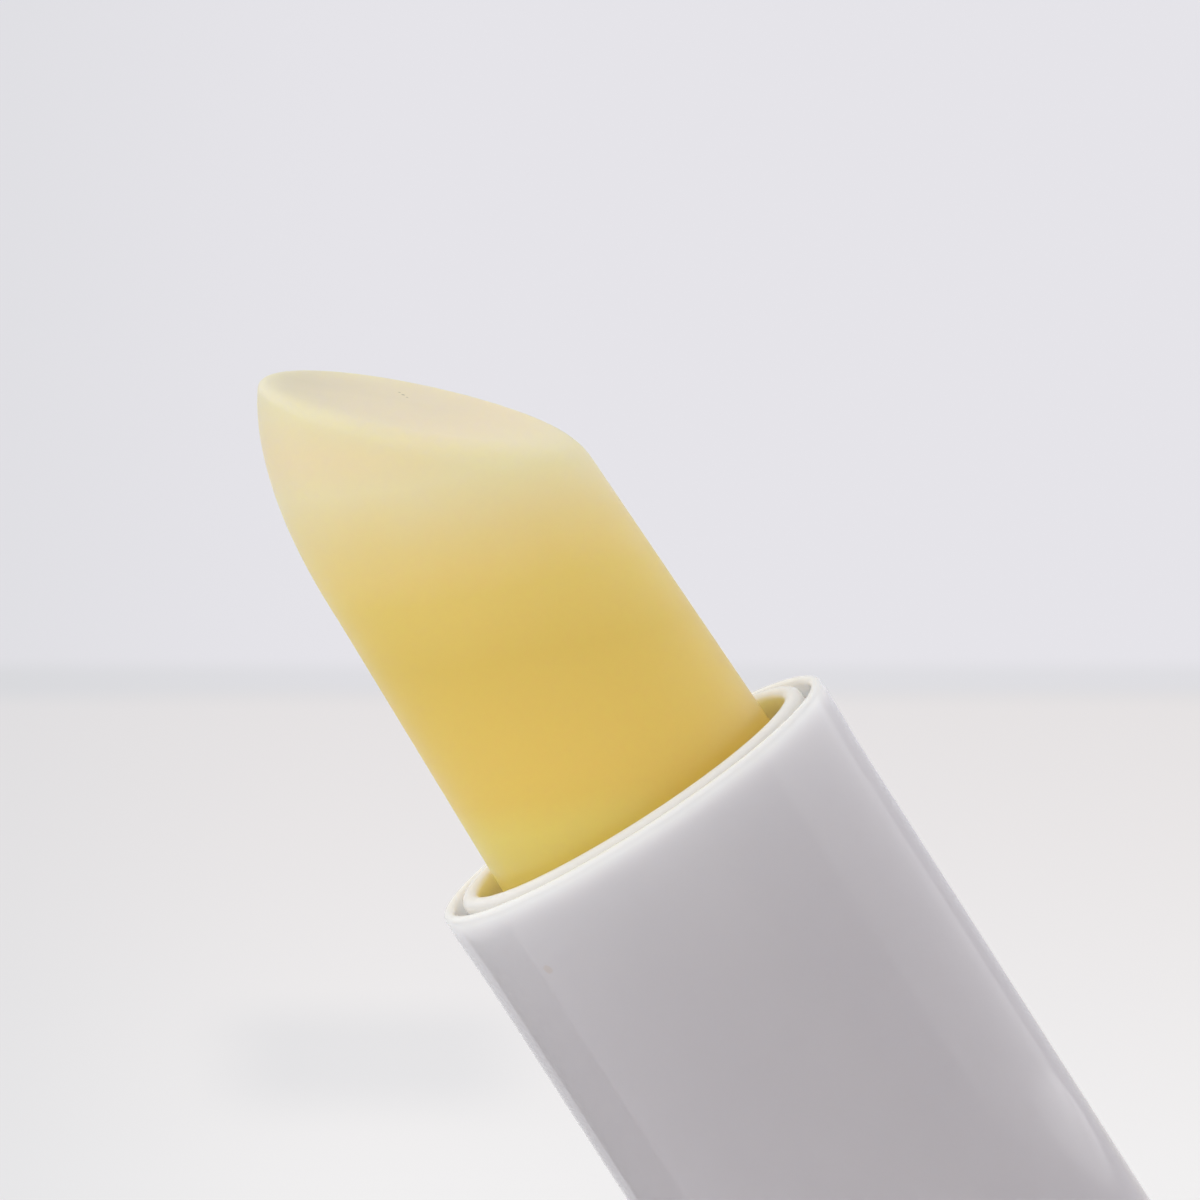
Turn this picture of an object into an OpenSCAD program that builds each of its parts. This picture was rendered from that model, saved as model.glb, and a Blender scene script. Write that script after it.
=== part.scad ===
// Twist-up stick: a tinted lip balm bullet with a slanting face, wound up out of its white tube.
// Millimetres, +Z up. The origin is the centre of the underside of the base.
// The face of the bullet looks to +X. The lugs of the carrier point along +Y and -Y.

/* [Balm bullet] */
// Radius of the bullet where it passes the mouth of the tube
balm_r = 6.02; // [5.6:0.01:6.4]
// How much the bullet's radius shrinks in each millimetre of height
balm_taper = 0.0265; // [0.005:0.0005:0.035]
// Height of the foot of the domed end above the mouth
dome_foot = 11.8; // [9:0.1:15]
// Height of the domed end, as it would be without the slanting face
dome_h = 10.9; // [9:0.1:13]
// Fullness of the dome: 2 is an ellipse, more is squarer
dome_power = 2.2; // [1.9:0.05:2.6]
// Slope of the slanting face, from the horizontal
face_tilt = 43.5; // [35:0.1:50]
// Distance of the slanting face from the centre of the dome's foot
face_out = 4.54; // [3.5:0.01:6]
// Softness of the face's edge at the tip, in the bullet's gauge
edge_tip = 0.006; // [0.003:0.001:0.03]
// Softness of the face's edge at its low shoulder, in the bullet's gauge
edge_shoulder = 0.03; // [0.01:0.001:0.06]

/* [Carrier cup] */
// Height of the cup
cup_h = 11.5; // [9:0.1:13]
// Depth of the cup's rim under the mouth when the bullet is wound up
cup_drop = 2; // [1:0.1:4]
// Wall of the cup
cup_wall = 0.6; // [0.45:0.01:0.9]
// Thickness of the cup's floor
cup_floor = 0.8; // [0.5:0.05:1.5]
// Radius of the air hole in the cup's floor
air_hole_r = 1.2; // [0.6:0.1:2]
// Number of ribs that grip the bullet's foot
rib_count = 4; // [2:1:8]
// Width of a gripping rib
rib_w = 0.8; // [0.5:0.05:1.2]
// How far a gripping rib stands into the cup
rib_depth = 0.35; // [0.2:0.01:0.6]
// Height of a gripping rib above the cup's floor
rib_h = 6; // [3:0.1:8]
// Diameter of the two lugs
lug_d = 2; // [1.6:0.05:2.4]
// Height of the lugs' centres above the cup's underside
lug_rise = 1.3; // [1.2:0.05:2]

/* [Twist mechanism] */
// Travel of the carrier from wound down to wound up
travel = 22; // [18:0.5:24]
// Rise of the carrier in one full turn
lead = 16; // [12:0.5:20]
// Wall of the guide tube
tube_wall = 0.47; // [0.4:0.01:0.7]
// How far the bead at the mouth stands out round the guide tube
bead_out = 0.25; // [0.2:0.01:0.35]
// How far the bead stands up past the sleeve's rim
bead_up = 0.15; // [0:0.01:0.6]
// Thickness of the bead, measured down from the sleeve's rim
bead_t = 0.7; // [0.5:0.05:1.2]
// Wall of the spiral sleeve
spiral_wall = 0.53; // [0.45:0.01:0.9]
// Depth of the groove for the friction ring
groove_depth = 0.45; // [0.35:0.01:0.6]
// Width of the friction ring's groove
groove_w = 0.7; // [0.6:0.05:1]
// Wall behind the groove
groove_back = 0.52; // [0.4:0.01:0.8]
// Height of the groove's middle above the plug in the base
groove_rise = 1.3; // [0.9:0.05:2]
// Height of the foot's solid wall above the groove
groove_land = 0.55; // [0.4:0.05:1]

/* [Outer sleeve] */
// Wall of the sleeve
sleeve_wall = 0.4; // [0.35:0.01:0.7]
// How much the sleeve widens at its mouth
flare = 0.07; // [0.02:0.01:0.15]
// Height of the straight lip at the mouth
lip_h = 1.25; // [0.8:0.05:2]
// Height over which the sleeve widens under that lip
flare_h = 1.75; // [1:0.05:3]
// How much narrower the sleeve starts at its lower end, which lets it enter the base
lead_in = 0.15; // [0.05:0.01:0.2]
// Height over which it reaches its full width there
lead_in_h = 0.3; // [0.2:0.05:0.6]

/* [Base] */
// Height of the base
base_h = 18; // [15:0.1:22]
// Wall of the base
base_wall = 1.1; // [0.8:0.05:1.6]
// Thickness of the base's floor
base_floor = 1.3; // [1:0.05:2]
// Rounding of the base's lower edge
base_round = 0.8; // [0.3:0.05:1]
// Height of the neck that the cap slides over, at the top of the base
neck_h = 3; // [2:0.1:5]
// Wall of the neck
neck_wall = 0.6; // [0.45:0.01:0.7]
// Rounding of the edges of the shoulder and of the neck
top_round = 0.15; // [0.05:0.01:0.2]
// Depth of the hollow under the base
dish_depth = 0.4; // [0.2:0.05:0.6]
// Width of the ring that the base stands on
foot_ring_w = 1.8; // [1.2:0.1:3]
// Height of the plug in the base
core_h = 4.7; // [4:0.1:6]
// Number of ribs round the plug
core_ribs = 16; // [8:1:24]
// How far the plug's ribs stand out
core_rib_out = 0.35; // [0.2:0.05:0.5]
// Width of the two keys that hold the guide tube from turning
key_w = 2; // [1.5:0.1:3]
// Height of those keys
key_h = 1.6; // [1:0.1:2]
// How far the snap bead stands out round the guide tube's foot
snap_out = 0.2; // [0.1:0.01:0.3]
// How deep the snap bead's section reaches into the guide tube's wall
snap_root = 0.2; // [0.1:0.05:0.3]
// Chamfer at the lower end of the guide tube
foot_chamfer = 0.2; // [0.1:0.05:0.3]

/* [Clearances] */
// Between pieces that are glued or pressed together
press_gap = 0.02; // [0.01:0.005:0.04]
// Between the carrier cup and the guide tube
slide_gap = 0.19; // [0.15:0.01:0.25]
// Between the guide tube and the spiral sleeve
turn_gap = 0.12; // [0.1:0.01:0.2]
// Between the friction ring and the spiral sleeve that it brakes
brake_gap = 0.02; // [0.01:0.005:0.04]
// Between the turning sleeve and the base round it
base_gap = 0.17; // [0.12:0.01:0.3]
// Above and below the spiral sleeve, where it turns on the plug and under the bead
thrust_gap = 0.12; // [0.1:0.01:0.2]
// Each side of a lug in its straight slot
slot_gap = 0.12; // [0.1:0.01:0.2]
// Each side of a lug in its helical slot
cam_gap = 0.2; // [0.15:0.01:0.25]
// Between the carrier and its stop at the bottom
stop_gap = 0.3; // [0.2:0.05:0.5]

/* [Quality] */
// Sides of the bullet
tip_sides = 64; // [24:4:72]
// Rings of the bullet's domed end, from its foot to the face's edge
side_rings = 16; // [8:1:20]
// Rings of the slanting face
face_rings = 12; // [6:1:16]
// Turn of the helical slot between two of its steps, in degrees
cam_step = 9; // [5:1:15]

/* [Hidden] */
$fn = 96;
// Extra reach of a cutter past the faces that it cuts
past = 1;
// How quickly the softness of the face's edge changes with the rays' lean towards +X
edge_blend = 0.7;
// Powers that crowd the bullet's rings towards the face's edge, from the side and from the face
side_crowding = 1.6;
face_crowding = 1.4;

// Heights, from the underside of the base to the mouth, as the pieces stack
core_top = base_floor + core_h;
sleeve_z = core_top + thrust_gap;
ring_z = core_top + groove_rise;
foot_top = ring_z + groove_w / 2 + groove_land;
cup_low = foot_top + stop_gap;
cup_z = cup_low + travel;
cup_rim = cup_z + cup_h;
mouth_z = cup_rim + cup_drop;
lug_z = cup_z + lug_rise;
dome_z = mouth_z + dome_foot;

// Radii, from the bullet outwards, as the pieces nest
foot_r = balm_r + balm_taper * cup_drop;
dome_r = balm_r - balm_taper * dome_foot;
cup_in_r = foot_r + press_gap;
cup_out_r = cup_in_r + cup_wall;
tube_in_r = cup_out_r + slide_gap;
tube_out_r = tube_in_r + tube_wall;
bead_r = tube_out_r + bead_out;
spiral_in_r = tube_out_r + turn_gap;
spiral_out_r = spiral_in_r + spiral_wall;
sleeve_in_r = spiral_out_r + press_gap;
sleeve_out_r = sleeve_in_r + sleeve_wall;
base_in_r = sleeve_out_r + base_gap;
neck_r = base_in_r + neck_wall;
base_r = base_in_r + base_wall;
shoulder_z = base_h - neck_h;
lug_reach = spiral_out_r - cam_gap;
groove_r = tube_out_r - groove_depth;
foot_in_r = groove_r - groove_back;

// The slots and the lugs' way in them
slot_w = lug_d + 2 * slot_gap;
cam_w = lug_d + 2 * cam_gap;
cam_mid_r = (spiral_in_r + spiral_out_r) / 2;
cam_slope = atan(lead / (2 * PI * cam_mid_r));
cam_sector = cam_w / sin(cam_slope) / cam_mid_r * 180 / PI;
cam_h = travel + cam_w;
cam_turn = 360 * cam_h / lead;

// The unit normal of the slanting face, and how far the modelled tip reaches down past the dome
face_n = [sin(face_tilt), 0, cos(face_tilt)];
tip_skirt = 2.5;
skirt_dip = atan(tip_skirt / (dome_r + balm_taper * tip_skirt));

// Points of a round stretch in a profile, about a centre
function arc(centre, r, from, to, steps = 6) =
    [for (i = [0:steps]) let (a = from + (to - from) * i / steps) centre + r * [cos(a), sin(a)]];

// The bullet is described from the centre of its dome's foot. Each surface has a gauge: a ray's
// length divided by its distance to that surface. The larger gauge is the surface that is met first.
function round_gauge(d) = d.z > 0
    ? pow(pow(norm([d.x, d.y]) / dome_r, dome_power) + pow(d.z / dome_h, dome_power), 1 / dome_power)
    : (norm([d.x, d.y]) + balm_taper * d.z) / dome_r;
function face_gauge(d) = max(0, d * face_n) / face_out;
// The edge between two surfaces is softened by a parabola over the width k
function soft_max(a, b, k) = max(a, b) + pow(max(k - abs(a - b), 0), 2) / (4 * k);
// The edge grows softer from the tip, at -X, to the low shoulder, at +X
function edge_k(d) = let (t = min(1, max(0, 0.5 + edge_blend * d.x)))
    edge_tip + (edge_shoulder - edge_tip) * t * t * (3 - 2 * t);
function tip_point(d) = [0, 0, dome_z] + d / soft_max(round_gauge(d), face_gauge(d), edge_k(d));
function ray(turn, rise) = [cos(rise) * cos(turn), cos(rise) * sin(turn), sin(rise)];
// The rise at which the rays of one turn meet the edge of the face, found by halving
function edge_rise(turn, low = 0, high = 90, steps = 30) = steps == 0 ? (low + high) / 2 :
    let (middle = (low + high) / 2, d = ray(turn, middle))
    face_gauge(d) > round_gauge(d) ? edge_rise(turn, low, middle, steps - 1)
                                   : edge_rise(turn, middle, high, steps - 1);
// The rings lie closer together towards the edge, on both sides of it
function ring_rise(edge, i) = i < side_rings
    ? edge - (edge + skirt_dip) * pow(1 - i / side_rings, side_crowding)
    : edge + (90 - edge) * pow((i - side_rings) / face_rings, face_crowding);

// The base, with a shoulder that the cap stops on and a neck that guides it
module base_shell() {
    ring_in_r = base_r - base_round - foot_ring_w;
    color([0.91, 0.90, 0.91])
    rotate_extrude()
    polygon(concat(
        [[0, dish_depth], [ring_in_r - dish_depth, dish_depth], [ring_in_r, 0]],
        arc([base_r - base_round, base_round], base_round, -90, 0),
        arc([base_r - top_round, shoulder_z - top_round], top_round, 0, 90),
        [[neck_r, shoulder_z]],
        arc([neck_r - top_round, base_h - top_round], top_round, 0, 90),
        arc([base_in_r + top_round, base_h - top_round], top_round, 90, 180),
        [[base_in_r, base_floor], [0, base_floor]]));
}

// The plug's ribs grip the shell, its groove takes the guide tube's snap bead, and its keys stop
// the tube from turning
module base_core() {
    body_r = base_in_r - core_rib_out - press_gap;
    color([0.86, 0.86, 0.88])
    difference() {
        union() {
            translate([0, 0, base_floor])
            cylinder(r = body_r, h = core_h);
            for (i = [0:core_ribs - 1])
                rotate(i * 360 / core_ribs)
                translate([body_r, 0, base_floor])
                cylinder(r = core_rib_out, h = core_h, $fn = 24);
        }
        difference() {
            union() {
                translate([0, 0, base_floor - past])
                cylinder(r = tube_out_r + press_gap, h = core_h + 2 * past);
                snap_bead(press_gap);
            }
            keys(0);
        }
    }
}

// A bead of triangular section round the guide tube's foot, or the groove that it snaps into
module snap_bead(gap) {
    out = snap_out + gap;
    rotate_extrude()
    translate([tube_out_r - snap_root, base_floor + core_h / 2])
    polygon([[0, -snap_root - out], [snap_root, -out], [snap_root + out, 0], [snap_root, out],
             [0, snap_root + out]]);
}

// Two blocks across the tube's wall on the base's floor, with the gap that their notches need
module keys(gap) {
    for (side = [0, 180])
        rotate(side)
        translate([foot_in_r - gap, -key_w / 2 - gap, base_floor - past])
        cube([tube_out_r + past - foot_in_r + gap, key_w + 2 * gap, key_h + past + gap]);
}

module inner_tube() {
    foot_z = base_floor + press_gap;
    bead_mid_r = (tube_in_r + bead_r) / 2;
    bead_round = (bead_r - tube_in_r) / 2;
    color([0.90, 0.89, 0.90])
    difference() {
        union() {
            rotate_extrude()
            union() {
                polygon([[foot_in_r, foot_z], [tube_out_r - foot_chamfer, foot_z],
                         [tube_out_r, foot_z + foot_chamfer],
                         [tube_out_r, mouth_z - bead_t], [tube_in_r, mouth_z - bead_t],
                         [tube_in_r, foot_top], [foot_in_r, foot_top]]);
                translate([tube_in_r, mouth_z - bead_t])
                square([bead_r - tube_in_r, bead_t + bead_up - bead_round]);
                translate([bead_mid_r, mouth_z + bead_up - bead_round])
                circle(r = bead_round, $fn = 48);
            }
            snap_bead(0);
        }
        ring_groove();
        keys(press_gap);
        straight_slot();
    }
}

module ring_groove() {
    rotate_extrude()
    translate([groove_r, ring_z - groove_w / 2])
    square([groove_depth + past, groove_w]);
}

// Both straight slots are one cut across the tube, with round ends about the lugs' end places
module straight_slot() {
    low = cup_low + lug_rise;
    translate([-slot_w / 2, -tube_out_r - past, low])
    cube([slot_w, 2 * (tube_out_r + past), travel]);
    for (z = [low, lug_z])
        translate([0, 0, z])
        rotate([90, 0, 0])
        cylinder(r = slot_w / 2, h = 2 * (tube_out_r + past), center = true, $fn = 48);
}

module friction_ring() {
    section_r = (spiral_in_r - brake_gap - groove_r) / 2;
    color([0.30, 0.32, 0.36])
    rotate_extrude()
    translate([groove_r + section_r, ring_z])
    circle(r = section_r, $fn = 32);
}

// The cam sleeve: two right-handed slots, half a turn apart, that the lugs climb in as it turns
module spiral_sleeve() {
    top = mouth_z - bead_t - thrust_gap;
    color([0.84, 0.84, 0.86])
    difference() {
        translate([0, 0, sleeve_z])
        cylinder(r = spiral_out_r, h = top - sleeve_z);
        translate([0, 0, sleeve_z - past])
        cylinder(r = spiral_in_r, h = top - sleeve_z + 2 * past);
        cam_slots();
    }
}

// At each height the slot takes one sector of the sleeve, and that sector turns with the height.
// The slot's middle is at +Y and -Y at the height of the lugs, where they stand when wound up.
module cam_slots() {
    low = cup_low + lug_rise - cam_w / 2;
    half = cam_sector / 2;
    near = spiral_in_r - past;
    far = (spiral_out_r + past) / cos(half);
    translate([0, 0, low])
    rotate(90 - 360 * (lug_z - low) / lead)
    linear_extrude(height = cam_h, twist = -cam_turn, slices = ceil(cam_turn / cam_step), $fn = 4)
    for (side = [0, 180])
        rotate(side)
        polygon([near * [cos(half), -sin(half)], far * [cos(half), -sin(half)],
                 far * [cos(half), sin(half)], near * [cos(half), sin(half)]]);
}

module outer_sleeve() {
    lip_out_r = sleeve_out_r + flare;
    lip_round = (lip_out_r - sleeve_in_r) / 2;
    color([0.93, 0.92, 0.93])
    rotate_extrude()
    union() {
        polygon([[sleeve_in_r, sleeve_z], [sleeve_out_r - lead_in, sleeve_z],
                 [sleeve_out_r, sleeve_z + lead_in_h],
                 [sleeve_out_r, mouth_z - lip_h - flare_h], [lip_out_r, mouth_z - lip_h],
                 [lip_out_r, mouth_z - lip_round], [sleeve_in_r, mouth_z - lip_round]]);
        translate([sleeve_in_r + lip_round, mouth_z - lip_round])
        circle(r = lip_round, $fn = 48);
    }
}

module carrier_cup() {
    chamfer = cup_wall / 2;
    color([0.95, 0.95, 0.93]) {
        rotate_extrude()
        polygon([[air_hole_r, cup_z], [cup_out_r - chamfer, cup_z], [cup_out_r, cup_z + chamfer],
                 [cup_out_r, cup_rim - chamfer], [cup_out_r - chamfer, cup_rim],
                 [cup_in_r, cup_rim], [cup_in_r, cup_z + cup_floor], [air_hole_r, cup_z + cup_floor]]);
        grip_ribs(0);
        for (side = [0, 180])
            rotate(side)
            translate([0, cup_in_r + cup_wall / 2, lug_z])
            rotate([-90, 0, 0])
            cylinder(d = lug_d, h = lug_reach - cup_in_r - cup_wall / 2, $fn = 48);
    }
}

// The cup's ribs, or with a gap the grooves that they leave in the foot of the bullet
module grip_ribs(gap) {
    for (i = [0:rib_count - 1])
        rotate((i + 0.5) * 360 / rib_count)
        translate([cup_in_r - rib_depth - gap, -rib_w / 2 - gap, cup_z + cup_floor / 2])
        cube([rib_depth + gap + cup_wall / 2, rib_w + 2 * gap, cup_floor / 2 + rib_h + gap]);
}

module balm() {
    color([0.87, 0.77, 0.46])
    difference() {
        bullet();
        grip_ribs(press_gap);
    }
}

// Rings of points from the foot in the cup to the top. The two lowest rings are the foot's. Each
// point of the others is on its own ray from the dome's foot, and one ring is the face's edge.
module bullet() {
    turns = [for (j = [0:tip_sides - 1]) 360 * j / tip_sides];
    edges = [for (turn = turns) edge_rise(turn)];
    points = concat(
        [for (z = [cup_z + cup_floor, cup_rim], turn = turns) [foot_r * cos(turn), foot_r * sin(turn), z]],
        [for (i = [0:side_rings + face_rings - 1], j = [0:tip_sides - 1])
            tip_point(ray(turns[j], ring_rise(edges[j], i)))],
        [tip_point([0, 0, 1])]);
    top = len(points) - 1;
    last = top - tip_sides;
    faces = concat(
        [[for (j = [0:tip_sides - 1]) j]],
        [for (i = [0:tip_sides:last - 1], j = [0:tip_sides - 1], half = [0, 1])
            let (a = i + j, b = i + (j + 1) % tip_sides)
            half == 0 ? [a, b + tip_sides, b] : [a, a + tip_sides, b + tip_sides]],
        [for (j = [0:tip_sides - 1]) [last + j, top, last + (j + 1) % tip_sides]]);
    polyhedron(points, faces, convexity = 4);
}

base_shell();
base_core();
inner_tube();
friction_ring();
spiral_sleeve();
outer_sleeve();
carrier_cup();
balm();
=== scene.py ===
# %% [markdown]
# # A twist-up lip balm stick
# The frame is the measured model of the stick: its base, the turning sleeve, the mechanism and the
# bullet. It is loaded first, because each piece below takes its place and its size from it.

# %% Load the frame
from math import atan2, cos, degrees, hypot, pi, radians, sin, sqrt

import bmesh
import bpy
from mathutils import Matrix, Vector


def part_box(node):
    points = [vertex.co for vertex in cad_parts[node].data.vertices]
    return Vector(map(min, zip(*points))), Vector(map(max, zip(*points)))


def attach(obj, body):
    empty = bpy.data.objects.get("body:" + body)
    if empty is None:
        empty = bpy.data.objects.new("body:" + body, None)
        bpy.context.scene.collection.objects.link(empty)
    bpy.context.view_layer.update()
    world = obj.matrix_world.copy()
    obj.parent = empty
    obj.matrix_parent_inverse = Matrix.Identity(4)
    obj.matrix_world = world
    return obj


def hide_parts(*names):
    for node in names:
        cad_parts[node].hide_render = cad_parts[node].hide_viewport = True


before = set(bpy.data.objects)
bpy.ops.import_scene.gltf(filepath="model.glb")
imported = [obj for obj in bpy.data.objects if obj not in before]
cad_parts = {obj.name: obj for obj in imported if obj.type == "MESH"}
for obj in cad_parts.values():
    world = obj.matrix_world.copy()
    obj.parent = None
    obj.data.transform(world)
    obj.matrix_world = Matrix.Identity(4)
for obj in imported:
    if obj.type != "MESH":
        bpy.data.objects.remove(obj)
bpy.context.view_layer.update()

MM = 0.001
mouth_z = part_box("outer_sleeve")[1].z
print("the tube's mouth is", round(mouth_z / MM, 2), "mm above the table")

# %% [markdown]
# ## The camera
# The picture looks down at the stick by under nine degrees, from far off, and the camera is rolled so
# that the stick leans to the left. An orbit about the middle of the tube's mouth says all of that in a
# few numbers. The aim lies to the right of the mouth and above it, so that the bullet is in the frame.

# %% Place the camera
CAMERA_AZIMUTH = radians(11.1)
CAMERA_ELEVATION = radians(8.61)
CAMERA_ROLL = radians(32.65)
CAMERA_DISTANCE = 400 * MM
CAMERA_LENS = 315.3
AIM_RIGHT = 3.07 * MM
AIM_UP = 6.90 * MM
PICTURE_SIZE = 1200
FILM_SIZE = 36

mouth = Vector((0, 0, mouth_z))
level_right = Vector((cos(CAMERA_AZIMUTH), sin(CAMERA_AZIMUTH), 0))
to_camera = Vector((level_right.y * cos(CAMERA_ELEVATION),
                    -level_right.x * cos(CAMERA_ELEVATION),
                    sin(CAMERA_ELEVATION)))
level_up = to_camera.cross(level_right)

camera = bpy.data.objects.new("camera", bpy.data.cameras.new("camera"))
bpy.context.scene.collection.objects.link(camera)
bpy.context.scene.camera = camera
camera.location = mouth + to_camera * CAMERA_DISTANCE
aim = mouth + level_right * AIM_RIGHT + level_up * AIM_UP
look = (aim - camera.location).to_track_quat("-Z", "Y").to_matrix()
turned = look @ Matrix.Rotation(-CAMERA_ROLL, 3, "Z")
camera.rotation_euler = turned.to_euler()
camera.data.lens = CAMERA_LENS
camera.data.sensor_width = FILM_SIZE
camera.data.clip_start = 10 * MM
camera.data.clip_end = 20
bpy.context.scene.view_settings.view_transform = "Standard"
picture_width = FILM_SIZE / CAMERA_LENS * CAMERA_DISTANCE
print("the picture is", round(picture_width / MM, 1), "mm wide at the mouth")

# %% [markdown]
# A place in the picture is often easier to name than a place in the scene. A ray from the camera
# through that place, met with the plane of the bullet's face or with the tube, turns the one into the
# other.

# %% From the picture to the scene
TUBE_R = 8.42 * MM
STAIN = (548.5, 970)
STAIN_SIZE = 0.36 * MM


def picture_ray(column, row):
    """The direction in which the camera looks through a place in the picture."""
    right, up, back = turned.col
    step = FILM_SIZE / CAMERA_LENS / PICTURE_SIZE
    sideways = right * (column - PICTURE_SIZE / 2) * step
    downwards = -up * (row - PICTURE_SIZE / 2) * step
    return (sideways + downwards - back).normalized()


def on_plane(column, row, point, normal):
    """The point of a plane that is seen at a place in the picture."""
    ray = picture_ray(column, row)
    return camera.location + ray * (point - camera.location).dot(normal) / ray.dot(normal)


def on_tube(column, row):
    """The near point of the tube's wall that is seen at a place in the picture."""
    ray = picture_ray(column, row)
    level, start = ray.xy, camera.location.xy
    half = level.dot(start) / level.length_squared
    inwards = (start.length_squared - TUBE_R ** 2) / level.length_squared
    return camera.location + ray * (-half - sqrt(half ** 2 - inwards))


print("the stain lies", round((mouth_z - on_tube(*STAIN).z) / MM, 1), "mm under the mouth")

# %% [markdown]
# ## Shader maths as expressions
# A finish is mostly arithmetic on heights, distances and noise. Nodes for that are quickly written
# once a socket knows plus, minus, times and divided by. Every other node comes from `node`, which
# sets the node's settings first and then its sockets, with values or with links.

# %% Sockets that can be calculated with
class Socket:
    """An output of a node. A sum or a product of sockets adds its Math node."""

    def __init__(self, shader, output):
        self.shader = shader
        self.output = output

    def math(self, operation, *values):
        return self.shader.node("ShaderNodeMath", {"operation": operation}, dict(enumerate(values)))

    def __add__(self, other):
        return self.math("ADD", self, other)

    def __radd__(self, other):
        return self.math("ADD", other, self)

    def __sub__(self, other):
        return self.math("SUBTRACT", self, other)

    def __rsub__(self, other):
        return self.math("SUBTRACT", other, self)

    def __mul__(self, other):
        return self.math("MULTIPLY", self, other)

    def __rmul__(self, other):
        return self.math("MULTIPLY", other, self)

    def __truediv__(self, other):
        return self.math("DIVIDE", self, other)

    def exp(self):
        """e to the power of it: 1 at 0, and quickly less below that."""
        return self.math("EXPONENT", self)


class Shader:
    """The nodes of a material or of the world."""

    def __init__(self, owner):
        owner.use_nodes = True
        self.tree = owner.node_tree
        self.tree.nodes.clear()

    def node(self, kind, settings, sockets, output=0):
        """Adds a node. A ramp's stops are a list of places and colours."""
        made = self.tree.nodes.new(kind)
        for name, choice in settings.items():
            if name == "stops":
                ramp = made.color_ramp.elements
                while len(ramp) < len(choice):
                    ramp.new(1)
                for stop, (place, colour) in zip(ramp, choice):
                    stop.position, stop.color = place, (*colour, 1)
            else:
                setattr(made, name, choice)
        for name, value in sockets.items():
            socket = made.inputs[name]
            if isinstance(value, Socket):
                self.tree.links.new(value.output, socket)
            elif socket.type == "RGBA":
                socket.default_value = (*value, 1)
            else:
                socket.default_value = value
        return Socket(self, made.outputs[output]) if made.outputs else None

    def vector(self, operation, first, second, output=0):
        """Vector Math on two vectors. A distance or a product is its output called Value."""
        return self.node("ShaderNodeVectorMath", {"operation": operation}, {0: first, 1: second},
                         output=output)

    def dot(self, vector, way):
        """How far a vector goes along a direction."""
        return self.vector("DOT_PRODUCT", vector, way, output="Value")

    def place(self):
        """The point of the surface, in metres from the middle of the base's underside."""
        return self.node("ShaderNodeTexCoord", {}, {}, output="Object")

    def height(self):
        """How high the point lies above the mouth of the tube, in millimetres."""
        return (self.node("ShaderNodeSeparateXYZ", {}, {"Vector": self.place()}, output="Z") - mouth_z) / MM

    def radius(self):
        """How far the point lies from the stick's axis, in millimetres."""
        level = self.vector("MULTIPLY", self.place(), (1, 1, 0))
        return self.vector("DISTANCE", level, (0, 0, 0), "Value") / MM

    def noise(self, size, detail=2.0, stretch=(1, 1, 1)):
        """Soft noise around zero, whose lumps are about this many metres across."""
        vector = self.node("ShaderNodeMapping", {}, {"Vector": self.place(), "Scale": stretch})
        cloud = self.node("ShaderNodeTexNoise", {}, {"Vector": vector, "Scale": 1 / size, "Detail": detail})
        return cloud - 0.5

    def mix(self, share, first, second):
        """The first colour where share is 0, the second where it is 1."""
        return self.node("ShaderNodeMix", {"data_type": "RGBA"}, {0: share, 6: first, 7: second}, output=2)

    def soft_step(self, value, low, high):
        """0 where the value is under low, 1 above high, and smooth between."""
        return self.node("ShaderNodeMapRange", {"interpolation_type": "SMOOTHSTEP"},
                         {"Value": value, "From Min": low, "From Max": high})

    def band(self, value, low, full, end, high):
        """1 between full and end, 0 under low and above high, and smooth between."""
        return self.soft_step(value, low, full) * (1 - self.soft_step(value, end, high))

    def speck(self, point, size):
        """1 within a small speck round a point, 0 outside it, with a ragged edge."""
        away = self.vector("DISTANCE", self.place(), point, "Value")
        return 1 - self.soft_step(away / size + self.noise(size), 0.3, 0.6)

    def bump(self, relief, depth):
        """The surface's normal with a relief, whose steps of 1 are this many metres deep."""
        return self.node("ShaderNodeBump", {}, {"Height": relief, "Distance": depth})

    def surface(self, sockets):
        """Ends the material in a Principled surface with these sockets."""
        body = self.node("ShaderNodeBsdfPrincipled", {}, sockets)
        self.node("ShaderNodeOutputMaterial", {}, {"Surface": body})


print("Socket and Shader are ready")

# %% [markdown]
# ## The glossy white plastic
# The sleeve, the guide tube and the base are moulded in white plastic with a polished skin. Light enters it
# by about half a millimetre before it comes out again, so the plastic gets a subsurface radius. The glow of a
# thin lip in the light is painted: the colour is painted white at the lip and on the inside just under the
# mouth, as a painted glow, and it fades to the grey of the wall below the mouth. The polish is never quite
# even: a slow waviness and a finer one bend what it mirrors. One faint stain is placed where the picture
# shows it.

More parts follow.
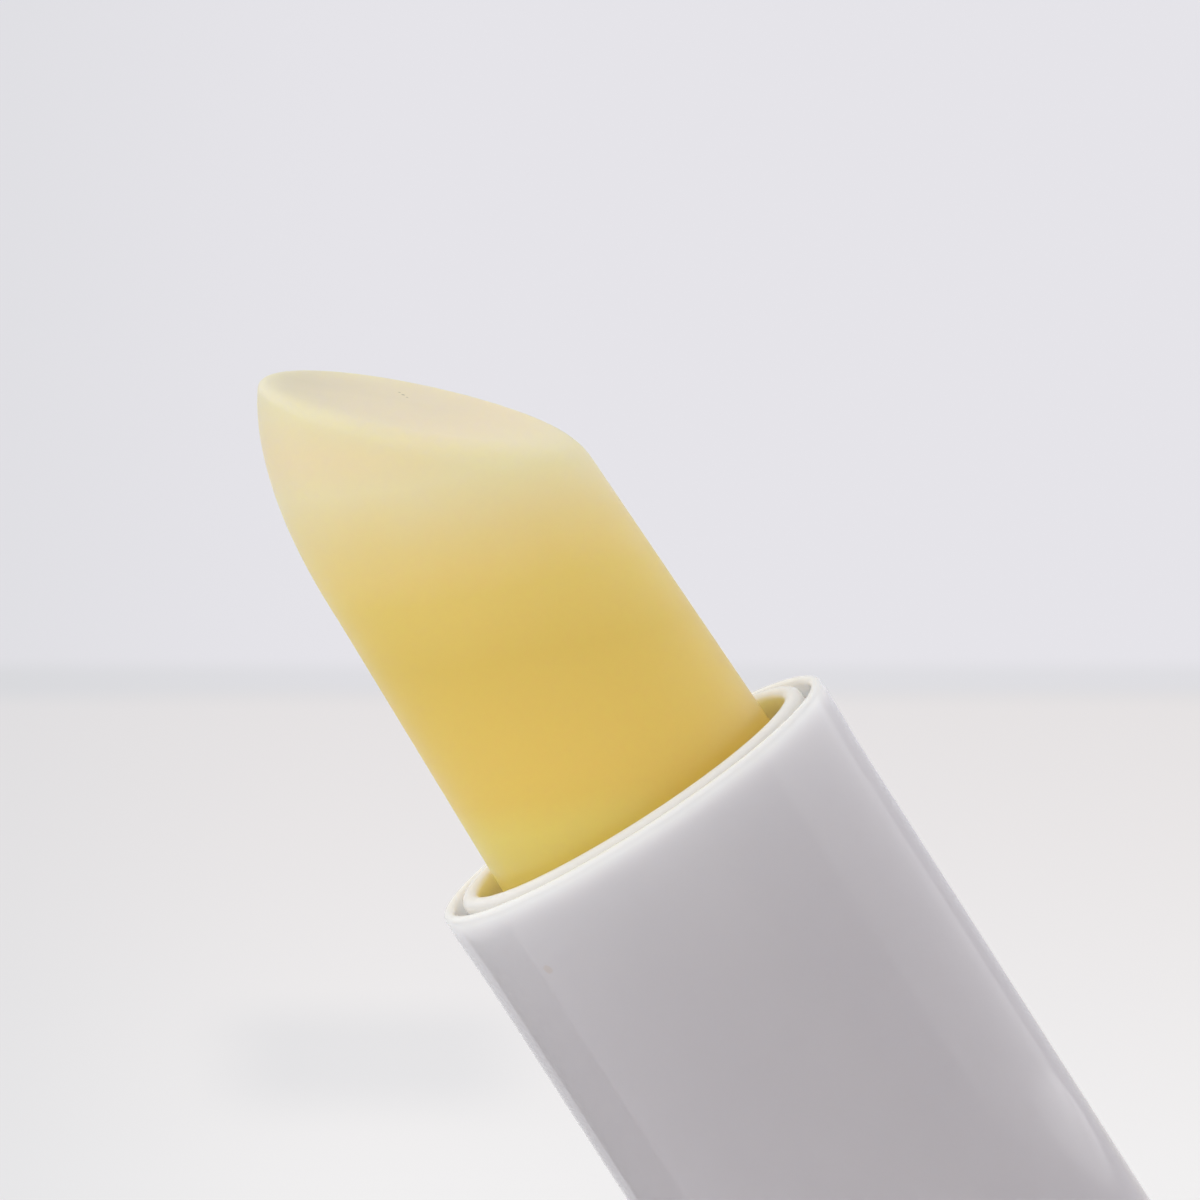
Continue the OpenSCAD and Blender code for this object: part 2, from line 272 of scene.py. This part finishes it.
# %% Gloss white
def gloss_white():
    material = bpy.data.materials.new("polished_plastic")
    shader = Shader(material)
    waves = shader.noise(9 * MM, stretch=(1, 1, 0.35))
    peel = shader.noise(0.5 * MM)
    smears = shader.noise(4 * MM, detail=5.0)
    height = shader.height()
    # Painted glow: the lip and the wall for a few millimetres under it are painted lighter, fading to grey.
    painted_lip_glow = ((height + 0.22) * 2.6).exp()
    painted_glow_below_lip = (height * 0.35).exp()
    # Painted light: the sleeve's inside wall just under the mouth is painted white, so the recess there
    # doesn't look shaded.
    painted_light_inside_mouth = (1 - shader.soft_step(shader.radius(), 8.05, 8.15)) * shader.soft_step(height, -4, -1)
    wall = shader.mix(0.5 + smears, (0.565, 0.537, 0.562), (0.593, 0.563, 0.586))
    stain = shader.speck(on_tube(*STAIN), STAIN_SIZE)
    stained = shader.mix(stain * 0.4, wall, (0.53, 0.42, 0.34))
    shader.surface({
        "Base Color": shader.mix(painted_lip_glow * 0.8 + painted_glow_below_lip * 0.48 + painted_light_inside_mouth, stained, (0.95, 0.94, 0.95)),
        "Roughness": 0.08 + smears * 0.06,
        "IOR": 1.5,
        "Subsurface Weight": 1.0,
        "Subsurface Radius": (1.0, 0.95, 0.9),
        "Subsurface Scale": 0.6 * MM,
        "Normal": shader.bump(waves + peel * 0.012, 0.03 * MM)})
    return material


finishes = {"gloss_white": gloss_white()}
print("made the finish of", *finishes)

# %% [markdown]
# The guide tube is the whiter of the two: its bead is the brightest part of the picture. Its bore is painted
# yellow near the mouth, as a painted light that comes through the wax. A mask of radius and height finds that
# stretch of the bore.

# %% White of the guide tube
def guide_white():
    material = bpy.data.materials.new("guide_tube_plastic")
    shader = Shader(material)
    smears = shader.noise(2 * MM, detail=5.0)
    bore = 1 - shader.soft_step(shader.radius(), 6.90, 7.00)
    # Painted light: the bore near the mouth is painted yellow, standing in for light passing through the wax.
    painted_wax_light = bore * shader.soft_step(shader.height() + smears * 2, -9, -1) * 0.8
    shader.surface({
        "Base Color": shader.mix(painted_wax_light, (0.97, 0.96, 0.975), (1.0, 0.86, 0.55)),
        "Roughness": 0.18 + smears * 0.1,
        "IOR": 1.5,
        "Subsurface Weight": 1.0,
        "Subsurface Radius": (1.0, 0.95, 0.9),
        "Subsurface Scale": 1.0 * MM,
        "Normal": shader.bump(smears, 0.01 * MM)})
    return material


guide_finish = guide_white()
print("made the finish of the guide tube")

# %% [markdown]
# ## The hidden plastics and the soft ring
# The cam sleeve, the plug and the carrier come from the mould as they are: unpolished, with a fine
# grain. The cam sleeve is of a clear, milky plastic, so that the recess at the mouth is pale and not
# black. The friction ring is soft and slightly greased. The measured solids of these pieces are right,
# so they stay and only get their finishes.

# %% Finishes of the mechanism
def moulded(dull, bright, roughness, grain, milky=0.0):
    material = bpy.data.materials.new("moulded_plastic")
    shader = Shader(material)
    shader.surface({
        "Base Color": shader.mix(0.5 + shader.noise(3 * MM, detail=4.0), dull, bright),
        "Roughness": roughness + shader.noise(0.8 * MM) * 0.15,
        "Subsurface Weight": milky,
        "Subsurface Radius": (1.0, 1.0, 1.0),
        "Subsurface Scale": 1.0 * MM,
        "Normal": shader.bump(shader.noise(grain, detail=4.0), 0.02 * MM)})
    return material


finishes["natural_plastic"] = moulded((0.93, 0.94, 0.92), (0.97, 0.98, 0.96), 0.42, 0.12 * MM, milky=1.0)
finishes["cup_plastic"] = moulded((0.80, 0.80, 0.77), (0.86, 0.86, 0.83), 0.38, 0.15 * MM)
finishes["soft_ring"] = moulded((0.06, 0.07, 0.09), (0.10, 0.11, 0.13), 0.30, 0.10 * MM)
for node, slot in {"spiral_sleeve": "natural_plastic", "base_core": "natural_plastic",
                   "carrier_cup": "cup_plastic", "friction_ring": "soft_ring"}.items():
    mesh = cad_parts[node].data
    mesh.materials.clear()
    mesh.materials.append(finishes[slot])
    print(node, "is finished as", slot)

# %% [markdown]
# ## Turned pieces
# A sleeve, a tube and a base are bodies of revolution, so each is one profile, spun once round the
# axis. The profile is a ring of corners. A corner that is rounded on the real piece is bevelled while
# it is still flat, which needs only two edges, and long edges are cut up so that the shading of a round
# stretch doesn't run down a straight wall.

# %% Spin a profile
SPIN_STEPS = 192
LONGEST_EDGE = 1.0 * MM
SHARP_ANGLE = radians(32)


def outline(corners, closed=True):
    """A flat ring of edges. A corner is its radius, its height and its rounding, in millimetres."""
    shape = bmesh.new()
    verts = [shape.verts.new((radius * MM, 0, height * MM)) for radius, height, rounding in corners]
    for first, second in zip(verts, verts[1:] + verts[:1] * closed):
        shape.edges.new((first, second))
    for vert, (radius, height, rounding) in zip(verts, corners):
        if rounding:
            bmesh.ops.bevel(shape, geom=[vert], offset=rounding * MM, offset_type="OFFSET", affect="VERTICES",
                            segments=10, profile=0.5, material=-1, clamp_overlap=True)
    for edge in [edge for edge in shape.edges if edge.calc_length() > LONGEST_EDGE]:
        bmesh.ops.subdivide_edges(shape, edges=[edge], cuts=int(edge.calc_length() / LONGEST_EDGE))
    return shape


def spin_round(shape):
    """Spins an outline once round the axis."""
    bmesh.ops.spin(shape, geom=shape.verts[:] + shape.edges[:], cent=(0, 0, 0), axis=(0, 0, 1),
                   angle=2 * pi, steps=SPIN_STEPS, use_merge=True)
    bmesh.ops.remove_doubles(shape, verts=shape.verts, dist=0.0005 * MM)


def finished(name, shape):
    """Makes an object of a bmesh: faces outwards, smooth but for its sharp edges."""
    bmesh.ops.recalc_face_normals(shape, faces=shape.faces)
    for face in shape.faces:
        face.smooth = True
    mesh = bpy.data.meshes.new(name)
    shape.to_mesh(mesh)
    shape.free()
    mesh.set_sharp_from_angle(angle=SHARP_ANGLE)
    piece = bpy.data.objects.new(name, mesh)
    bpy.context.scene.collection.objects.link(piece)
    print(name, "has", len(mesh.polygons), "faces")
    return piece


def turned_piece(name, corners, closed=True):
    """A body of revolution from its outline."""
    shape = outline(corners, closed)
    spin_round(shape)
    return finished(name, shape)


def dress(piece, body, node, slot, finish=None):
    """Gives a piece the finish of its slot, or the finish given, hangs it on the body that carries it, and
    hides the node it replaces.
    """
    piece.data.materials.clear()
    piece.data.materials.append(finish or finishes[slot])
    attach(piece, body)
    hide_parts(node)


# %% [markdown]
# ## The outer sleeve
# The sleeve is a thin straight tube that widens by a few hundredths of a millimetre just under its
# mouth and ends in a fully rounded lip. Its lower end has a small lead-in. The radii come from the
# frame, and the wall is the gap between the cam sleeve inside it and the box of the sleeve itself.

# %% Outer sleeve
GLUE_GAP = 0.02
SLEEVE_FLARE = 0.07
LEAD_IN = 0.15
LEAD_IN_HEIGHT = 0.3
LIP_HEIGHT = 1.25
FLARE_HEIGHT = 1.75
BEND_SOFTNESS = 0.6


def box_mm(node):
    """The radius across X, the lowest and the highest point of a node, in millimetres."""
    low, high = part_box(node)
    return high.x / MM, low.z / MM, high.z / MM


lip_r, sleeve_low, sleeve_top = box_mm("outer_sleeve")
sleeve_in_r = box_mm("spiral_sleeve")[0] + GLUE_GAP
sleeve_r = lip_r - SLEEVE_FLARE
lip_round = (lip_r - sleeve_in_r) / 2
outer_sleeve = turned_piece("sleeve_shell", [
    (sleeve_in_r, sleeve_low, 0), (sleeve_r - LEAD_IN, sleeve_low, 0),
    (sleeve_r, sleeve_low + LEAD_IN_HEIGHT, 0),
    (sleeve_r, sleeve_top - LIP_HEIGHT - FLARE_HEIGHT, BEND_SOFTNESS),
    (lip_r, sleeve_top - LIP_HEIGHT, BEND_SOFTNESS),
    (lip_r, sleeve_top, lip_round), (sleeve_in_r, sleeve_top, lip_round)])
dress(outer_sleeve, "sleeve", "outer_sleeve", "gloss_white")

# %% [markdown]
# ## The base
# The base is held while the sleeve is turned. It stands on a ring round a shallow hollow, has a
# shoulder that stops the cap, and a short neck. Its inside is open down to its floor.

# %% Base shell
BASE_WALL = 1.1
BASE_FLOOR = 1.3
BASE_ROUND = 0.8
NECK_HEIGHT = 3
NECK_WALL = 0.6
TOP_ROUND = 0.15
DISH_DEPTH = 0.4
FOOT_RING = 1.8

base_r, base_low, base_top = box_mm("base_shell")
base_in_r = base_r - BASE_WALL
neck_r = base_in_r + NECK_WALL
foot_ring_r = base_r - BASE_ROUND - FOOT_RING
base_piece = turned_piece("base_cover", [
    (0, DISH_DEPTH, 0), (foot_ring_r - DISH_DEPTH, DISH_DEPTH, 0), (foot_ring_r, base_low, 0),
    (base_r, base_low, BASE_ROUND), (base_r, base_top - NECK_HEIGHT, TOP_ROUND),
    (neck_r, base_top - NECK_HEIGHT, 0), (neck_r, base_top, TOP_ROUND), (base_in_r, base_top, TOP_ROUND),
    (base_in_r, BASE_FLOOR, 0), (0, BASE_FLOOR, 0)], closed=False)
dress(base_piece, "base", "base_shell", "gloss_white")

# %% [markdown]
# ## The guide tube
# The white ring at the mouth is the bead of a second tube. Under it, out of sight, the tube has two
# straight slots for the carrier's lugs, a groove for the friction ring and a bead that snaps into the
# plug. All but the slots and the notches at its foot is turned. Those are cut with plain blocks and
# the Boolean modifier, as a slide in the mould would shape them.

# %% Guide tube
TUBE_WALL = 0.47
BEAD_OUT = 0.25
BEAD_THICK = 0.7
GROOVE_DEPTH = 0.45
GROOVE_WIDTH = 0.7
GROOVE_BACK = 0.52
RING_HEIGHT = 7.3
FOOT_TOP = 8.2
SNAP_HEIGHT = 3.65
SNAP_OUT = 0.2
FOOT_CHAMFER = 0.2
SLOT_WIDTH = 2.24
SLOT_LOW = 9.8
SLOT_HIGH = 31.8
KEY_WIDTH = 2.04
KEY_HALF_DEPTH = 1.5
KEY_TOP = 2.92

bead_r, tube_low, tube_top = box_mm("inner_tube")
tube_r = bead_r - BEAD_OUT
tube_in_r = tube_r - TUBE_WALL
groove_r = tube_r - GROOVE_DEPTH
foot_in_r = groove_r - GROOVE_BACK
bead_round = (bead_r - tube_in_r) / 2
guide_tube = turned_piece("guide_tube", [
    (foot_in_r, tube_low, 0), (tube_r - FOOT_CHAMFER, tube_low, 0), (tube_r, tube_low + FOOT_CHAMFER, 0),
    (tube_r, SNAP_HEIGHT - SNAP_OUT, 0), (tube_r + SNAP_OUT, SNAP_HEIGHT, 0),
    (tube_r, SNAP_HEIGHT + SNAP_OUT, 0),
    (tube_r, RING_HEIGHT - GROOVE_WIDTH / 2, 0), (groove_r, RING_HEIGHT - GROOVE_WIDTH / 2, 0),
    (groove_r, RING_HEIGHT + GROOVE_WIDTH / 2, 0), (tube_r, RING_HEIGHT + GROOVE_WIDTH / 2, 0),
    (tube_r, sleeve_top - BEAD_THICK, 0), (bead_r, sleeve_top - BEAD_THICK, 0),
    (bead_r, tube_top, bead_round), (tube_in_r, tube_top, bead_round),
    (tube_in_r, FOOT_TOP, 0), (foot_in_r, FOOT_TOP, 0)])


def block(low, high, rounding=0):
    """A block between two corners, in millimetres. Its edges along Y may be rounded."""
    shape = bmesh.new()
    bmesh.ops.create_cube(shape, size=1)
    size = Vector(high) - Vector(low)
    middle = (Vector(high) + Vector(low)) / 2
    bmesh.ops.scale(shape, vec=size * MM, verts=shape.verts)
    bmesh.ops.translate(shape, vec=middle * MM, verts=shape.verts)
    along_y = [edge for edge in shape.edges if abs(edge.verts[0].co.y - edge.verts[1].co.y) > size.y * MM / 2]
    if rounding:
        bmesh.ops.bevel(shape, geom=along_y, offset=rounding * MM, offset_type="OFFSET", affect="EDGES",
                        segments=12, profile=0.5, material=-1, clamp_overlap=True)
    mesh = bpy.data.meshes.new("cutter")
    shape.to_mesh(mesh)
    shape.free()
    cutter = bpy.data.objects.new("cutter", mesh)
    bpy.context.scene.collection.objects.link(cutter)
    return cutter


def cut(piece, cutter):
    """Takes the cutter's space out of a piece and deletes the cutter."""
    tool = piece.modifiers.new("cut", "BOOLEAN")
    tool.operation = "DIFFERENCE"
    tool.solver = "EXACT"
    tool.object = cutter
    bpy.context.view_layer.update()
    result = bpy.data.meshes.new_from_object(piece.evaluated_get(bpy.context.evaluated_depsgraph_get()))
    piece.modifiers.clear()
    piece.data = result
    result.set_sharp_from_angle(angle=SHARP_ANGLE)
    bpy.data.objects.remove(cutter)
    print(piece.name, "has", len(result.polygons), "faces after the cut")


cut(guide_tube, block((-SLOT_WIDTH / 2, -bead_r - 1, SLOT_LOW - SLOT_WIDTH / 2),
                      (SLOT_WIDTH / 2, bead_r + 1, SLOT_HIGH + SLOT_WIDTH / 2), rounding=SLOT_WIDTH * 0.499))
for side in (-1, 1):
    cut(guide_tube, block((side * foot_in_r - KEY_HALF_DEPTH, -KEY_WIDTH / 2, tube_low - 1),
                          (side * foot_in_r + KEY_HALF_DEPTH, KEY_WIDTH / 2, KEY_TOP)))
dress(guide_tube, "base", "inner_tube", "gloss_white", guide_finish)

# %% [markdown]
# ## The bullet
# The bullet is cast: a round stem that tapers towards its end, a dome, and a slanting face that cuts
# the dome off. The edge between dome and face is crisp at the tip and softens towards the low shoulder.
# Cutting a spun dome with a plane would give one sharp edge all round. So the spun dome only supplies
# the mesh: every ring of it is slid over the form, until one ring is the edge, and every point goes out
# along its own ray from the dome's foot to the surface that it meets first.

# %% The form of the bullet
STEM_R = 6.02
TAPER = 0.0265
DOME_FOOT = 11.8
DOME_HEIGHT = 10.9
DOME_POWER = 2.2
FACE_TILT = radians(43.5)
FACE_OUT = 4.54
EDGE_TIP = 0.006
EDGE_SHOULDER = 0.03
SKIRT = 2.5

dome_z = mouth_z / MM + DOME_FOOT
dome_r = STEM_R - TAPER * DOME_FOOT
face_normal = Vector((sin(FACE_TILT), 0, cos(FACE_TILT)))


def round_gauge(ray):
    """One divided by the ray's way to the dome, or under the dome to the stem."""
    level = hypot(ray.x, ray.y)
    if ray.z > 0:
        return ((level / dome_r) ** DOME_POWER + (ray.z / DOME_HEIGHT) ** DOME_POWER) ** (1 / DOME_POWER)
    return (level + TAPER * ray.z) / dome_r


def face_gauge(ray):
    """One divided by the ray's way to the plane of the slanting face."""
    return max(0, ray.dot(face_normal)) / FACE_OUT


def bullet_point(ray):
    """The point of the bullet on a ray from the middle of the dome's foot, in millimetres."""
    blend = min(1, max(0, 0.5 + 0.7 * ray.x))
    softness = EDGE_TIP + (EDGE_SHOULDER - EDGE_TIP) * blend * blend * (3 - 2 * blend)
    dome, face = round_gauge(ray), face_gauge(ray)
    gauge = max(dome, face) + max(softness - abs(dome - face), 0) ** 2 / (4 * softness)
    return Vector((0, 0, dome_z)) + ray / gauge


def ray_at(turn, rise):
    return Vector((cos(rise) * cos(turn), cos(rise) * sin(turn), sin(rise)))


def edge_rise(turn):
    """The rise at which the rays of one turn meet the edge of the face, found by halving."""
    low, high = 0, pi / 2
    for halving in range(30):
        middle = (low + high) / 2
        ray = ray_at(turn, middle)
        low, high = (low, middle) if face_gauge(ray) > round_gauge(ray) else (middle, high)
    return low


print("the tip is", round(bullet_point(ray_at(pi, edge_rise(pi))).z, 2), "mm high")

# %% [markdown]
# ## The balm's wax
# The wax is translucent. It is a full yellow in its stem and nearly clear at the tip, and the change follows
# the height, a little wavily and on a slant. A ramp along the height says that in a few colours. Its stops
# round the mouth are painted lighter, as painted light against the shade inside the mouth, and its top stop
# is painted grey, as the backdrop seen through the clear tip. Light is scattered over millimetres, which
# softens the shading.
# Three tiny flecks lie on the face, where the picture shows them.

# %% Balm wax
RAMP_LOW, RAMP_HIGH = -2, 22
WAX_SLANT = 0.4
FLECKS = ((399.5, 392.3, 0.11), (403.0, 394.8, 0.15), (407.3, 397.4, 0.10))


def balm_wax():
    material = bpy.data.materials.new("clear_wax")
    shader = Shader(material)
    drift = shader.noise(6 * MM, detail=1.0) * 1.6 + shader.noise(1.2 * MM, detail=3.0) * 0.35
    slant = shader.dot(shader.place(), level_right * WAX_SLANT / MM)
    # Painted light: the stops round the mouth are lighter to offset the shade inside it, and the top stop is
    # grey like the backdrop seen through the tip.
    wax_tone_and_painted_light = shader.node("ShaderNodeValToRGB", {"stops": [
        (0.00, (1.00, 0.75, 0.20)),
        (0.08, (1.00, 0.74, 0.19)),
        (0.14, (0.93, 0.67, 0.155)),
        (0.38, (0.85, 0.635, 0.148)),
        (0.50, (0.89, 0.69, 0.20)),
        (0.60, (0.95, 0.745, 0.33)),
        (0.70, (0.98, 0.81, 0.52)),
        (0.84, (0.83, 0.735, 0.52)),
        (1.00, (0.50, 0.475, 0.42))]},
        {"Fac": (shader.height() + slant + drift - RAMP_LOW) / (RAMP_HIGH - RAMP_LOW)})
    face_point = Vector((0, 0, dome_z)) * MM + face_normal * FACE_OUT * MM
    flecks = 0
    for column, row, size in FLECKS:
        flecks = flecks + shader.speck(on_plane(column, row, face_point, face_normal), size * MM)
    shader.surface({
        "Base Color": shader.mix(flecks * 0.8, wax_tone_and_painted_light, (0.30, 0.26, 0.13)),
        "Roughness": 0.36 + shader.noise(2 * MM) * 0.12,
        "IOR": 1.45,
        "Subsurface Weight": 1.0,
        "Subsurface Radius": (1.0, 1.0, 0.4),
        "Subsurface Scale": 3.0 * MM,
        "Normal": shader.bump(shader.noise(1.6 * MM, detail=4.0), 0.02 * MM)})
    return material


finishes["balm_wax"] = balm_wax()
print("made the finishes of", *finishes)

# %% [markdown]
# ## The bullet's mesh
# The mesh starts as a plain profile, a stem with a quarter circle on it, whose rings are evenly spaced
# in rise. The rings are then drawn together towards the edge of the face, where the form turns fastest.

# %% Spin and shape the bullet
CUP_RIM_DEPTH = 2
DOME_RINGS = 120
SIDE_SHARE = 0.57
SIDE_CROWDING = 1.6
FACE_CROWDING = 1.4

stem_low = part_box("balm")[0].z / MM
foot_r = STEM_R + TAPER * CUP_RIM_DEPTH
skirt_r = dome_r + TAPER * SKIRT
skirt_z = dome_z - SKIRT
skirt_dip = atan2(SKIRT, skirt_r)
shape = outline([(0, stem_low, 0), (foot_r, stem_low, 0), (foot_r, mouth_z / MM - CUP_RIM_DEPTH, 0),
                 (STEM_R, mouth_z / MM, 0), (skirt_r, skirt_z, 0)], closed=False)
skirt = shape.verts.new((skirt_r * MM, 0, skirt_z * MM))
bmesh.ops.spin(shape, geom=[skirt], cent=(0, 0, dome_z * MM), axis=(0, -1, 0), angle=pi / 2 + skirt_dip,
               steps=DOME_RINGS)
bmesh.ops.remove_doubles(shape, verts=shape.verts, dist=0.0005 * MM)
spin_round(shape)

edges = {}
for vert in shape.verts:
    ray = vert.co / MM - Vector((0, 0, dome_z))
    rise = atan2(ray.z, hypot(ray.x, ray.y))
    if rise < -skirt_dip - 0.0001:
        continue
    turn = atan2(ray.y, ray.x)
    edge = edges.setdefault(round(turn, 5), edge_rise(turn))
    share = (rise + skirt_dip) / (pi / 2 + skirt_dip)
    if share < SIDE_SHARE:
        rise = edge - (edge + skirt_dip) * (1 - share / SIDE_SHARE) ** SIDE_CROWDING
    else:
        rise = edge + (pi / 2 - edge) * min(1, (share - SIDE_SHARE) / (1 - SIDE_SHARE)) ** FACE_CROWDING
    vert.co = bullet_point(ray_at(turn, rise)) * MM
print("the edge of the face rises from", round(degrees(min(edges.values()))), "to",
      round(degrees(max(edges.values()))), "degrees")

# %% [markdown]
# Ribs in the carrier cup press four grooves into the bullet's foot. They are out of sight, and four
# strips of the stem's points are moved inwards for them.

# %% Grooves in the foot, and the finished bullet
RIBS = 4
GROOVE_HALF_WIDTH = 0.42
GROOVE_FLOOR_R = 5.723
GROOVE_TOP = 37.32

for vert in shape.verts:
    turn = atan2(vert.co.y, vert.co.x) * RIBS / (2 * pi) - 0.5
    aside = abs(turn - round(turn)) * 2 * pi / RIBS * foot_r
    radius = hypot(vert.co.x, vert.co.y)
    if vert.co.z < GROOVE_TOP * MM and aside < GROOVE_HALF_WIDTH and radius > GROOVE_FLOOR_R * MM:
        vert.co.xy *= GROOVE_FLOOR_R * MM / radius
bullet = finished("balm_bullet", shape)
dress(bullet, "carrier", "balm", "balm_wax")

# %% [markdown]
# ## The floor
# The stick stands on pale paper, a warmer sheet in front and a cooler one behind. They meet in a line that
# runs level across the picture, with a faint dark crease there, which is painted shade. There's one faint
# painted shadow in the warm sheet, and the left is painted a little darker, as painted shade. The floor is
# one wide disc. Each of its points is seen at one column and row of the picture, which follow from where it
# lies, and its colour follows from those.

# %% Floor
FLOOR_R = 6
SEAM_ROW = 688
NEAR_ROW = 1180
PAINTED_CREASE_ROWS = (SEAM_ROW - 34, SEAM_ROW - 10, SEAM_ROW - 4, SEAM_ROW + 24)
PAINTED_SHADOW_ROWS = (985, 1040, 1070, 1140)
PAINTED_SHADOW_COLUMNS = (170, 300, 440, 580)
PAINTED_SHADE_COLUMNS = (-250, 420)


def paper():
    material = bpy.data.materials.new("paper")
    shader = Shader(material)
    line = shader.vector("SUBTRACT", shader.place(), camera.location)
    rightwards, upwards, backwards = (shader.dot(line, way) for way in turned.col)
    scale = PICTURE_SIZE * CAMERA_LENS / FILM_SIZE
    column = PICTURE_SIZE / 2 - rightwards / backwards * scale
    row = PICTURE_SIZE / 2 + upwards / backwards * scale
    near = shader.node("ShaderNodeValToRGB", {"stops": [
        (0.00, (0.772, 0.748, 0.752)), (0.30, (0.80, 0.778, 0.782)), (1.00, (0.862, 0.852, 0.855))]},
        {"Fac": (row - SEAM_ROW) / (NEAR_ROW - SEAM_ROW)})
    sheets = shader.mix(shader.soft_step(row, SEAM_ROW - 8, SEAM_ROW + 12), (0.772, 0.762, 0.802), near)
    # Painted shade: a faint dark crease along the seam.
    painted_crease_shade = shader.band(row, *PAINTED_CREASE_ROWS)
    # Painted shadow: a faint darker patch in the warm sheet, left of the tube.
    painted_shadow = shader.band(row, *PAINTED_SHADOW_ROWS) * shader.band(column, *PAINTED_SHADOW_COLUMNS)
    # Painted shade: the left of the floor is painted darker.
    dull = 1 - shader.soft_step(column, *PAINTED_SHADE_COLUMNS)
    shader.surface({
        "Base Color": shader.mix(painted_crease_shade * 0.55 + painted_shadow * 0.4 + dull * 0.6, sheets, (0.678, 0.682, 0.705)),
        "Roughness": 0.9,
        "Specular IOR Level": 0.0})
    return material


shape = bmesh.new()
bmesh.ops.create_circle(shape, cap_ends=True, segments=96, radius=FLOOR_R)
floor = finished("floor", shape)
floor.data.materials.append(paper())

# %% [markdown]
# ## The light tent
# The stick stands in a light tent: white paper above and behind it, and less light from the left and
# from the camera's side, so the tube is greyer than what lies behind it. A ramp that goes once round
# the horizon says how bright the tent's wall is on each side, and the wall blends into a white top. Past
# the floor's edge the camera sees one plain pale colour.

# %% Light tent
PAST_THE_FLOOR = (0.765, 0.755, 0.80)
TENT_TOP = 1.17
TENT_WALL = ((-180, 0.78), (-160, 0.68), (-140, 0.24), (-120, 0.15), (-75, 0.15), (-25, 0.38),
             (0, 0.38), (40, 0.20), (74, 0.16), (90, 0.22), (125, 0.48), (150, 0.74))

level_front = Vector((to_camera.x, to_camera.y, 0)).normalized()
world = bpy.data.worlds.new("tent")
bpy.context.scene.world = world
shader = Shader(world)
direction = shader.node("ShaderNodeTexCoord", {}, {}, output="Generated")


def towards(way):
    """How much the direction of the light points this way, from -1 to 1."""
    return shader.dot(direction, way)


turn = shader.node("ShaderNodeMath", {"operation": "ARCTAN2"},
                   {0: towards(level_right), 1: towards(level_front)})
wall = shader.node("ShaderNodeValToRGB", {
    "stops": [((degree + 180) / 360, (bright, bright, bright)) for degree, bright in TENT_WALL]},
    {"Fac": turn / (2 * pi) + 0.5})
top = shader.soft_step(towards(Vector((0, 0, 1))) - towards(level_right) * 0.15, 0.05, 0.75)
light = shader.node("ShaderNodeBackground", {}, {
    "Color": shader.mix(top, wall, (TENT_TOP, TENT_TOP, TENT_TOP)), "Strength": 1.0})
seen = shader.node("ShaderNodeBackground", {}, {"Color": PAST_THE_FLOOR, "Strength": 1.0})
chosen = shader.node("ShaderNodeMixShader", {}, {
    0: shader.node("ShaderNodeLightPath", {}, {}, output="Is Camera Ray"), 1: light, 2: seen})
shader.node("ShaderNodeOutputWorld", {}, {"Surface": chosen})
print("the tent's wall is", min(bright for degree, bright in TENT_WALL), "to", TENT_TOP, "bright")

# %% [markdown]
# ## A grey card
# The left side of the tube is darker than its edge, with a clean line between them, so something grey
# stands on the table there, outside the picture. A low standing card does the same. The camera itself
# doesn't see it, so it isn't in the way from other sides.

# %% Grey card
CARD_FROM, CARD_TO = -98, -143
CARD_AWAY = 0.15
CARD_HEIGHT = 0.02
CARD_THICK = 0.002


def around(degree, distance):
    """A point of the floor at this turn from the camera's side, seen from the stick."""
    return (level_front * cos(radians(degree)) + level_right * sin(radians(degree))) * distance


def grey_card():
    material = bpy.data.materials.new("grey_card")
    shader = Shader(material)
    shader.surface({
        "Base Color": shader.mix(0.5 + shader.noise(5 * MM), (0.46, 0.46, 0.455), (0.50, 0.50, 0.495)),
        "Roughness": 0.9,
        "Specular IOR Level": 0.0})
    return material


start, end = around(CARD_FROM, CARD_AWAY), around(CARD_TO, CARD_AWAY)
way = end - start
shape = bmesh.new()
bmesh.ops.create_cube(shape, size=1.0, matrix=(
    Matrix.Translation((start + end) / 2 + Vector((0, 0, CARD_HEIGHT / 2)))
    @ Matrix.Rotation(atan2(way.y, way.x), 4, "Z")
    @ Matrix.Diagonal((way.length, CARD_THICK, CARD_HEIGHT, 1))))
card = finished("card", shape)
card.data.materials.append(grey_card())
card.visible_camera = False
print("the card is", round(way.length / MM), "mm wide, at", round(CARD_AWAY / MM), "mm from the stick")

# %% [markdown]
# ## Two lamps
# The tube's gloss shows two more lights. A standing soft box on the right gives its right side one
# clean step lengthwise. A small, wide and low lamp close behind it gives the oval near the corner of
# the picture. A lamp's place follows from where its reflection is seen: the ray from the camera is
# reflected by the tube's wall, and the lamp stands on the reflected ray. Blender divides a lamp's power
# by 4 times its area, so a brightness is multiplied by that.

# %% Lamps in the tube's gloss
def soft_box(name, column, row, away, width, height, brightness, shape="RECTANGLE"):
    """A lamp whose reflection in the tube's wall is seen at a place in the picture."""
    hit = on_tube(column, row)
    normal = Vector((hit.x, hit.y, 0)).normalized()
    way = picture_ray(column, row).reflect(normal)
    lamp = bpy.data.objects.new(name, bpy.data.lights.new(name, "AREA"))
    bpy.context.scene.collection.objects.link(lamp)
    lamp.location = hit + way * away
    lamp.rotation_euler = (hit - lamp.location).to_track_quat("-Z", "Y").to_euler()
    lamp.data.shape = shape
    lamp.data.size = width
    lamp.data.size_y = height
    lamp.data.energy = brightness * 4 * width * height
    lamp.visible_camera = False
    print(name, "stands at", [round(part / MM) for part in lamp.location], "mm")


soft_box("side box", 888, 868, away=0.12, width=0.16, height=0.038, brightness=0.36)
soft_box("low lamp", 1076, 1132, away=0.07, width=0.056, height=0.0058, brightness=0.32, shape="ELLIPSE")
